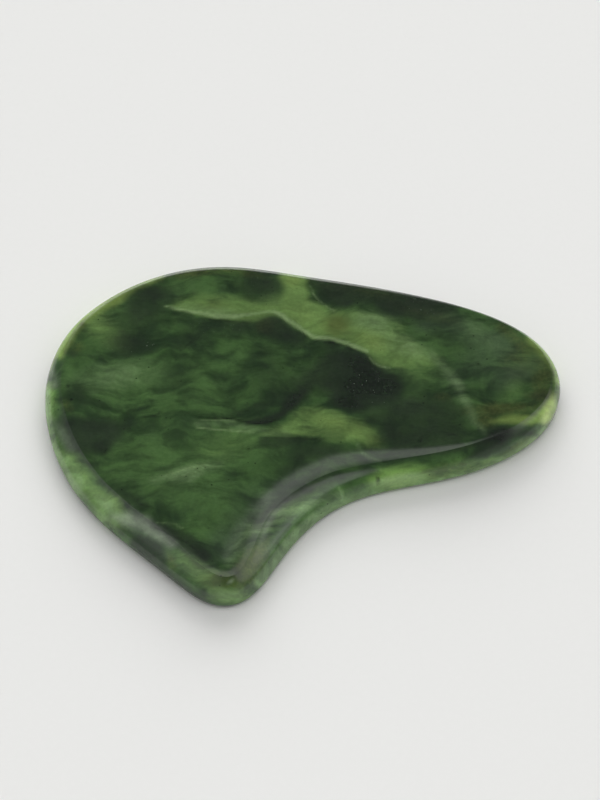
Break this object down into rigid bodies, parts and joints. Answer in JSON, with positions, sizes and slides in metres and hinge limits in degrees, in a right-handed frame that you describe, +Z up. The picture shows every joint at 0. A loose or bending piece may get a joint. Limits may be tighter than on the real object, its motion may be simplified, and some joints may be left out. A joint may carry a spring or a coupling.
{
  "type": "gua sha scraper",
  "caption": "Flat polished green jade gua sha board with a broad lobe, a slim lobe, a blunt point and a concave working edge, bevelled all round on its upper face.",
  "frame": {"origin": "centre of the bounding box in plan, on the flat base face", "axes": "+Z up through the thickness to the bevelled face; +X along the length to the slim lobe; -Y to the blunt point"},
  "size_m": [0.1012, 0.075, 0.0065],
  "materials": {
    "polished_jade": "semi-gloss wax polish over mottled dark and light green nephrite"
  },
  "bodies": {
    "root": {"jade_board": "polished_jade"}
  },
  "joints": []
}
